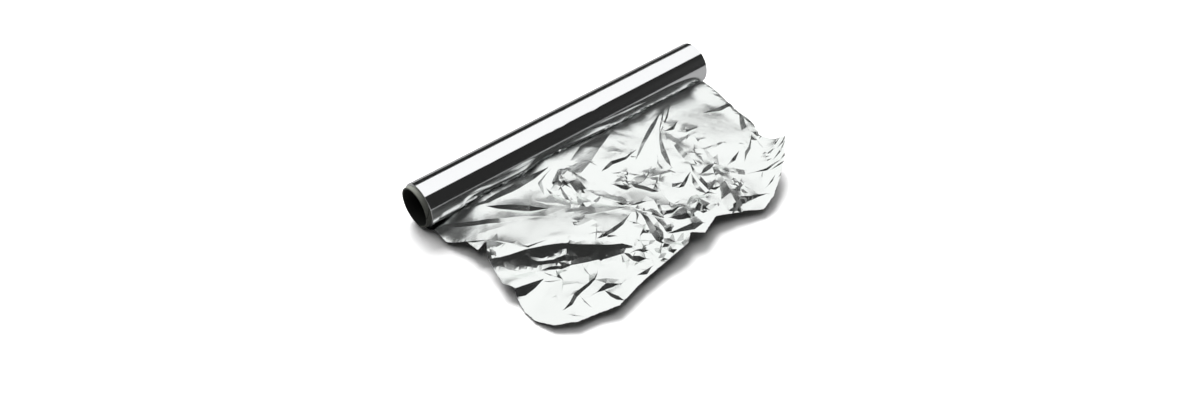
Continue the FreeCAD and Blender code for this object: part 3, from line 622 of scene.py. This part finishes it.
def addFreePoints(draw, form, edge, spots, lifts):
    # free points over the whole sheet, lifted a little, then those of each dense crumple
    zones = [(*onSheet(form, px, py), radius * mm, cell * mm, height * mm)
             for px, py, radius, cell, height in knots.values()]
    taken = np.array(spots)

    def add(places, keep, cell, strength):
        nonlocal taken
        for k in np.nonzero(keep)[0]:
            apart = np.hypot(taken[:, 0] - places[k, 0], taken[:, 1] - places[k, 1]).min()
            if apart > cell * looseEnd["closest"]:
                spots.append(tuple(places[k]))
                lifts.append(draw.uniform(-1, 1) * strength[k])
        taken = np.array(spots)

    cell = looseEnd["spread"]
    places = scattered(draw, (-webHalf, foilLow.y), (webHalf, 0), cell)
    keep = insideLoop(places[:, 0], places[:, 1], edge)
    for x, y, radius, _, _ in zones:
        keep &= np.hypot(places[:, 0] - x, places[:, 1] - y) > radius * 0.9
    add(places, keep, cell, np.full(len(places), looseEnd["fineRise"]))
    for x, y, radius, cell, height in zones:
        places = scattered(draw, (x - radius, y - radius), (x + radius, y + radius), cell)
        apart = np.hypot(places[:, 0] - x, places[:, 1] - y) / radius
        keep = insideLoop(places[:, 0], places[:, 1], edge) & (apart < 1)
        # full height out to about 0.6 of the radius, and none at its end
        add(places, keep, cell, height * np.clip(1.6 - 1.6 * apart ** 2, 0, 1))


def heightsOf(plan, lifts, form, lines):
    # the form, its creases and the lifts, above the floor and under the roll
    x, y = plan[:, 0], plan[:, 1]
    height = form.at(x, y)
    for line in lines:
        height += creaseRise(x, y, *line)
    height += np.array(lifts)
    clearance, thick = looseEnd["clearance"], looseEnd["thick"]
    height = np.maximum(height, floorHeight + clearance)
    rollBottom = -np.sqrt(np.maximum(rollRadius ** 2 - y ** 2, 0)) - thick - clearance
    return np.where(np.abs(y) < rollRadius, np.minimum(height, rollBottom), height)


def closedSheet(plan, height, trios):
    # upper and lower face of the sheet, turned outward, and the rim between them
    used, trios = np.unique(trios, return_inverse=True)
    trios = trios.reshape(-1, 3)
    a, b, c = (plan[used][trios[:, k]] for k in range(3))
    turn = (b[:, 0] - a[:, 0]) * (c[:, 1] - a[:, 1]) - (b[:, 1] - a[:, 1]) * (c[:, 0] - a[:, 0])
    trios[turn < 0] = trios[turn < 0][:, ::-1]
    low = np.column_stack([plan[used], height[used]])
    count = len(low)
    points = np.vstack([low + (0, 0, looseEnd["thick"]), low])
    faces = [tuple(t) for t in trios] + [(k + count, j + count, i + count) for i, j, k in trios]
    sides = {(t[k], t[(k + 1) % 3]) for t in trios.tolist() for k in range(3)}
    faces += [(j, i, i + count, j + count) for i, j in sorted(sides) if (j, i) not in sides]
    return points, faces


def looseSheet():
    draw = random.Random(looseEnd["seed"])
    form, lines = settledForm()
    edge = tornEdge(draw)
    spots = [tuple(p) for p in edge]
    links = [(k, (k + 1) % len(edge)) for k in range(len(edge))]
    addCreasePoints(lines, edge, spots, links)
    lifts = [0.0] * len(spots)
    addFreePoints(draw, form, edge, spots, lifts)
    print("loose sheet:", len(spots), "points,", len(links), "links")
    corners, _, triangles, origins, *_ = delaunay_2d_cdt([Vector(p) for p in spots], links, [], 0,
                                                         looseEnd["sameSpot"])
    plan = np.array([tuple(c) for c in corners])
    height = heightsOf(plan, [lifts[origin[0]] if origin else 0.0 for origin in origins], form, lines)
    trios = np.array([tuple(t) for t in triangles])
    centres = plan[trios].mean(1)
    points, faces = closedSheet(plan, height, trios[insideLoop(centres[:, 0], centres[:, 1], edge)])
    piece = meshPiece("foil_loose_sheet", points, faces)
    piece.data.set_sharp_from_angle(angle=math.radians(looseEnd["sharpAngle"]))
    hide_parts("foil")
    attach(piece, "root")
    print("loose sheet:", len(faces), "faces")
    return piece


# The wound turns and their core: profiles turned round the roll's axis, then worn a little

woundTurns = {
    "seed": 21,
    "stepsRound": 400,
    "stepsAlong": 150,
    "endRings": 9,
    "ringOffset": 0.16 * mm,       # how unevenly the turns' edges lie
    "waves": 0.012 * mm,
    "longestWave": 0.120,
    "waveCount": 7,
    "dentWidth": 1.4 * mm,
    "coreGap": 0.05 * mm,
    "sharpAngle": 35.0,
}

# Small dents in the outer turn: along the roll and out of its middle in mm, angle from the back
# over the top in degrees, then length and depth in mm
dents = [
    (-23, 122.5, 5.0, 0.05), (-12, 121.0, 6.0, 0.06), (22, 123.0, 8.0, 0.06), (26, 119.0, 4.0, 0.05),
    (-1, 79.0, 5.0, 0.06), (102, 90.0, 6.0, 0.05), (-86, 117.0, 9.0, 0.04), (66, 112.0, 7.0, 0.04),
    (-60, 73.0, 6.0, 0.04), (46, 77.0, 5.0, 0.05),
]

coreTube = {
    "seed": 5,
    "stepsRound": 160,
    "stepsAlong": 60,
    "plies": 6,
    "plyGroove": 0.10 * mm,
    "worn": 0.30 * mm,             # how far the rims' edges are rounded
    "frayed": 0.12 * mm,
    "longestFray": 0.300,
    "frayCount": 9,
    "boreSteps": 20,
    "sharpAngle": 35.0,
    "seamPitch": 62.0 * mm,        # how far the outer ply goes along in one turn
    "seamWidth": 0.7 * mm,
}


def turned(name, profile, around, shift):
    # a closed profile of (along, radius) turned round the axis, each point moved by shift
    along, radius = (np.array(row) for row in zip(*profile))
    angles = np.arange(around) * 2 * math.pi / around
    x, angle = np.meshgrid(along, angles, indexing="ij")
    r = np.broadcast_to(radius[:, None], x.shape)
    x, r = shift(x, r, angle)
    points = np.stack([x, r * np.cos(angle), r * np.sin(angle)], 2).reshape(-1, 3)
    faces = []
    for i in range(len(profile)):
        for k in range(around):
            n, m = (i + 1) % len(profile), (k + 1) % around
            faces.append((i * around + k, i * around + m, n * around + m, n * around + k))
    return meshPiece(name, points, faces)


def waver(draw, longest, count):
    # slow waves along the axis and round it, between -1 and 1
    waves = [(draw.uniform(0.5, 2) * 2 * math.pi / longest, draw.randint(1, 5), draw.uniform(0, 6.28))
             for _ in range(count)]
    return lambda x, angle: sum(np.sin(k * x + n * angle + phase) for k, n, phase in waves) / count


def woundRoll():
    draw = random.Random(woundTurns["seed"])
    inner = coreHigh.y + woundTurns["coreGap"]
    along, rings = woundTurns["stepsAlong"], woundTurns["endRings"]
    profile = [(-webHalf + 2 * webHalf * i / along, rollRadius) for i in range(along + 1)]
    for side in (1, -1):
        # every other ring's edge stands back, as the turns' edges do
        for n in range(1, rings):
            share = n / rings if side > 0 else 1 - n / rings
            radius = rollRadius + share * (inner - rollRadius)
            back = woundTurns["ringOffset"] * (draw.uniform(0.5, 1) if n % 2 else draw.uniform(0, 0.3))
            profile.append((side * (webHalf - back), radius))
        if side > 0:
            profile += [(webHalf, inner), (-webHalf, inner)]
    slow = waver(draw, woundTurns["longestWave"], woundTurns["waveCount"])

    def shift(x, r, angle):
        outer = r > rollRadius - 1e-6
        rise = woundTurns["waves"] * slow(x, angle)
        for place, degrees, length, depth in dents:
            across = (angle - math.radians(degrees)) * rollRadius / woundTurns["dentWidth"]
            rise = rise - depth * mm * np.exp(-((x - place * mm) / (length / 2 * mm)) ** 2 - across ** 2)
        return x, np.where(outer, np.minimum(r + rise - woundTurns["waves"], rollRadius), r)

    piece = turned("foil_wound_turns", profile, woundTurns["stepsRound"], shift)
    piece.data.set_sharp_from_angle(angle=math.radians(woundTurns["sharpAngle"]))
    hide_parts("foil")
    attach(piece, "root")
    print("wound turns:", len(piece.data.polygons), "faces")
    return piece


def tube():
    draw = random.Random(coreTube["seed"])
    inner, outer = boreRadius, coreHigh.y
    worn, plies, along = coreTube["worn"], coreTube["plies"], coreTube["stepsAlong"]
    straight = coreHigh.x - coreLow.x - 2 * worn
    profile = [(coreLow.x + worn + straight * i / along, outer) for i in range(along + 1)]
    for side in (1, -1):
        edge = coreHigh.x if side > 0 else coreLow.x
        rim = [(edge - side * worn * 0.3, outer - worn * 0.3)]
        for n in range(1, 2 * plies):
            groove = coreTube["plyGroove"] * draw.uniform(0.6, 1) if n % 2 == 0 else 0
            rim.append((edge - side * groove, outer - worn * 0.5 - (outer - inner - worn) * n / (2 * plies)))
        rim.append((edge - side * worn * 0.4, inner + worn * 0.2))
        profile += rim if side > 0 else rim[::-1]
        if side > 0:
            steps = coreTube["boreSteps"]
            profile += [(coreHigh.x - worn - straight * i / steps, inner) for i in range(steps + 1)]
    fray = waver(draw, coreTube["longestFray"], coreTube["frayCount"])

    def shift(x, r, angle):
        rim = (x < coreLow.x + worn * 0.9) | (x > coreHigh.x - worn * 0.9)
        # the rim's fibres vary quickly, out from the axis and round it
        pulled = coreTube["frayed"] * (0.5 + 0.5 * fray(r * 40, angle * 3))
        return np.where(rim, x - np.sign(x) * pulled, x), r

    piece = turned("core_tube", profile, coreTube["stepsRound"], shift)
    piece.data.set_sharp_from_angle(angle=math.radians(coreTube["sharpAngle"]))
    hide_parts("cardboard_core")
    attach(piece, "root")
    print("core tube:", len(piece.data.polygons), "faces")
    return piece


# Materials. Rolling lines and board fibres are too fine to show, so both are drawn coarser than
# real ones, at these sizes.

patternSizes = {
    "rollingLineWidth": 1.111 * mm,
    "rollingLineLength": 83.33 * mm,
    "fibreLength": 1.111 * mm,
    "fibreWidth": 0.3846 * mm,
}


def satinFoil():
    # rolled face to face with another foil, so this side is satin: it mirrors light softly, no detail
    material, tree, output = newMaterial("rolled aluminium foil, satin side")
    shader = addNode(tree, "ShaderNodeBsdfPrincipled", Base_Color=linearFromHex("#F1F4F2"),
                     Metallic=1.0, Roughness=0.25)
    tree.links.new(shader.outputs["BSDF"], output.inputs["Surface"])
    return material


def brightFoil():
    # this side met the polished rollers: a clear mirror, but their lines run round the roll and
    # spread each reflection along it
    material, tree, output = newMaterial("rolled aluminium foil, bright side")
    alongRoll = addNode(tree, "ShaderNodeCombineXYZ", X=1.0)
    shader = addNode(tree, "ShaderNodeBsdfPrincipled", Base_Color=linearFromHex("#F2F3F4"),
                     Metallic=1.0, Roughness=0.13, Anisotropic=1.0, Tangent=alongRoll.outputs[0])
    place = addNode(tree, "ShaderNodeTexCoord")
    across, along = 1 / patternSizes["rollingLineWidth"], 1 / patternSizes["rollingLineLength"]
    lines = addNode(tree, "ShaderNodeMapping", Vector=place.outputs["Object"], Scale=(across, along, along))
    grain = addNode(tree, "ShaderNodeTexNoise", Vector=lines.outputs[0], Scale=1.0, Detail=3.0)
    bump = addNode(tree, "ShaderNodeBump", Height=grain.outputs[0], Strength=0.35, Distance=0.02 * mm)
    tree.links.new(bump.outputs[0], shader.inputs["Normal"])
    tree.links.new(shader.outputs["BSDF"], output.inputs["Surface"])
    return material


def coreBoard():
    # wound from strips of recycled board: matt, faintly mottled by its fibres, with an open seam; its bore is
    # painted near-black as painted shade
    material, tree, output = newMaterial("spiral-wound grey cardboard")
    place = addNode(tree, "ShaderNodeTexCoord")
    along, across = 1 / patternSizes["fibreLength"], 1 / patternSizes["fibreWidth"]
    fibres = addNode(tree, "ShaderNodeMapping", Vector=place.outputs["Object"], Scale=(along, across, across))
    noise = addNode(tree, "ShaderNodeTexNoise", Vector=fibres.outputs[0], Scale=1.0, Detail=4.0)
    # seam of the outer ply: a helix, so its phase is the turns round plus the turns along
    split = addNode(tree, "ShaderNodeSeparateXYZ", Vector=place.outputs["Object"])
    pitch = coreTube["seamPitch"]
    angle = addNode(tree, "ShaderNodeMath", {"operation": "ARCTAN2"}, i0=split.outputs[2],
                    i1=split.outputs[1])
    turns = addNode(tree, "ShaderNodeMath", {"operation": "MULTIPLY"}, i0=angle.outputs[0], i1=0.5 / math.pi)
    phase = addNode(tree, "ShaderNodeMath", {"operation": "MULTIPLY_ADD"}, i0=split.outputs[0],
                    i1=1 / pitch, i2=turns.outputs[0])
    share = addNode(tree, "ShaderNodeMath", {"operation": "FRACT"}, i0=phase.outputs[0])
    seam = addNode(tree, "ShaderNodeMath", {"operation": "LESS_THAN"}, i0=share.outputs[0],
                   i1=coreTube["seamWidth"] / pitch)
    pale = addNode(tree, "ShaderNodeMapRange", Value=noise.outputs[0], i1=0.3, i2=0.7, i3=0.0, i4=1.0)
    board = addNode(tree, "ShaderNodeMix", {"data_type": "RGBA"}, i0=pale.outputs[0],
                    i6=linearFromHex("#696B65"), i7=linearFromHex("#80827B"))
    seamed = addNode(tree, "ShaderNodeMix", {"data_type": "RGBA"}, i0=seam.outputs[0],
                     i6=board.outputs[2], i7=linearFromHex("#3E3F3B"))
    # painted shade: the bore's wall, and the rims' edge next to it, are coloured near-black for the shade
    # deep inside the tube
    outward = addNode(tree, "ShaderNodeCombineXYZ", Y=split.outputs[1], Z=split.outputs[2])
    radius = addNode(tree, "ShaderNodeVectorMath", {"operation": "LENGTH"}, i0=outward.outputs[0])
    clearOfBoreShade = addNode(tree, "ShaderNodeMapRange", Value=radius.outputs["Value"], i1=boreRadius + 0.05 * mm,
                      i2=boreRadius + 0.3 * mm)
    # near-black painted shade on the bore's wall, board colour elsewhere
    colour = addNode(tree, "ShaderNodeMix", {"data_type": "RGBA"}, i0=clearOfBoreShade.outputs[0],
                     i6=linearFromHex("#262724"), i7=seamed.outputs[2])
    shader = addNode(tree, "ShaderNodeBsdfPrincipled", Base_Color=colour.outputs[2], Roughness=0.85)
    bump = addNode(tree, "ShaderNodeBump", Height=noise.outputs[0], Strength=0.5, Distance=0.05 * mm)
    tree.links.new(bump.outputs[0], shader.inputs["Normal"])
    tree.links.new(shader.outputs["BSDF"], output.inputs["Surface"])
    return material


# Studio: one strip softbox along the roll, above and behind it, over a white sweep

studio = {
    "floorSize": 12.0,
    "floorColour": 0.25,
    "floorGain": 4.3,              # what the camera sees of the white paper
    "boxSize": (2.7, 1.80),
    "boxDistance": 1.1,
    "boxElevation": 73.0,
    "boxAcross": 0.55,
    "boxRadiance": 1.05,
    "keyFrom": (0.40, 0.85, 0.72),  # no foil mirrors it: it lights the paper and throws the shadow
    "keyAngle": 42.0,
    "keyStrength": 6.2,
    "darkness": 0.022,
    "glowSharpness": 30.0,
}

# Faint glows of the dark room, for the foil's other sides: the way to each, and its radiance
glows = [((0.88, -0.42, 0.22), 0.2), ((-0.96, 0.22, 0.17), 0.2)]


def floor():
    half = studio["floorSize"] / 2
    piece = meshPiece("floor", [(-half, -half, floorHeight), (half, -half, floorHeight),
                                (half, half, floorHeight), (-half, half, floorHeight)], [(0, 1, 2, 3)], False)
    material, tree, output = newMaterial("white paper sweep")
    rays = addNode(tree, "ShaderNodeLightPath")
    gain = addNode(tree, "ShaderNodeMath", {"operation": "MULTIPLY_ADD"}, i0=rays.outputs["Is Camera Ray"],
                   i1=studio["floorColour"] * (studio["floorGain"] - 1), i2=studio["floorColour"])
    colour = addNode(tree, "ShaderNodeCombineColor", i0=gain.outputs[0], i1=gain.outputs[0],
                     i2=gain.outputs[0])
    shader = addNode(tree, "ShaderNodeBsdfDiffuse", Color=colour.outputs[0])
    tree.links.new(shader.outputs[0], output.inputs["Surface"])
    piece.data.materials.append(material)


def softbox():
    elevation = math.radians(studio["boxElevation"])
    width, height = studio["boxSize"]
    lamp = bpy.data.lights.new("softbox", "AREA")
    lamp.shape = "RECTANGLE"
    lamp.size = width
    lamp.size_y = height
    lamp.energy = studio["boxRadiance"] * math.pi * width * height
    piece = bpy.data.objects.new("softbox", lamp)
    piece.location = (studio["boxAcross"], math.cos(elevation) * studio["boxDistance"],
                      math.sin(elevation) * studio["boxDistance"])
    piece.rotation_euler = (elevation - math.pi / 2, 0, 0)
    bpy.context.scene.collection.objects.link(piece)


def keyLight():
    lamp = bpy.data.lights.new("key", "SUN")
    lamp.angle = math.radians(studio["keyAngle"])
    lamp.energy = studio["keyStrength"]
    piece = bpy.data.objects.new("key", lamp)
    piece.rotation_euler = Vector(studio["keyFrom"]).to_track_quat("Z", "Y").to_euler()
    piece.visible_glossy = False
    bpy.context.scene.collection.objects.link(piece)


def surround():
    world = bpy.data.worlds.new("studio")
    bpy.context.scene.world = world
    world.use_nodes = True
    tree = world.node_tree
    tree.nodes.clear()
    output = tree.nodes.new("ShaderNodeOutputWorld")
    rays = addNode(tree, "ShaderNodeLightPath")
    way = addNode(tree, "ShaderNodeTexCoord").outputs["Generated"]
    level = studio["darkness"]
    for place, radiance in glows:
        facing = addNode(tree, "ShaderNodeVectorMath", {"operation": "DOT_PRODUCT"}, i0=way, i1=place)
        ahead = addNode(tree, "ShaderNodeMath", {"operation": "MAXIMUM"}, i0=facing.outputs["Value"], i1=0.0)
        spot = addNode(tree, "ShaderNodeMath", {"operation": "POWER"}, i0=ahead.outputs[0],
                       i1=studio["glowSharpness"])
        added = addNode(tree, "ShaderNodeMath", {"operation": "MULTIPLY_ADD"}, i0=spot.outputs[0],
                        i1=radiance, i2=level)
        level = added.outputs[0]
    dark = addNode(tree, "ShaderNodeBackground", Color=(1, 1, 1, 1), Strength=level)
    pale = addNode(tree, "ShaderNodeBackground", Color=linearFromHex("#FEFEFE"), Strength=1.0)
    mixed = addNode(tree, "ShaderNodeMixShader", i0=rays.outputs["Is Camera Ray"], i1=dark.outputs[0],
                    i2=pale.outputs[0])
    tree.links.new(mixed.outputs[0], output.inputs["Surface"])


def addCamera():
    lens = bpy.data.cameras.new("camera")
    lens.sensor_width = camera["sensor"]
    lens.lens = camera["focalPixels"] / camera["frameSize"][0] * camera["sensor"]
    piece = bpy.data.objects.new("camera", lens)
    x, y, z = camera["place"]
    piece.location = (x, y, z + floorHeight)
    piece.rotation_euler = (math.radians(90 - camera["elevation"]), 0, math.radians(camera["azimuth"]))
    bpy.context.scene.collection.objects.link(piece)
    bpy.context.scene.camera = piece


addCamera()
floor()
softbox()
keyLight()
surround()
sheetPiece = looseSheet()
sheetPiece.data.materials.append(satinFoil())
rollPiece = woundRoll()
rollPiece.data.materials.append(brightFoil())
corePiece = tube()
corePiece.data.materials.append(coreBoard())

bpy.context.scene.view_settings.view_transform = "Standard"
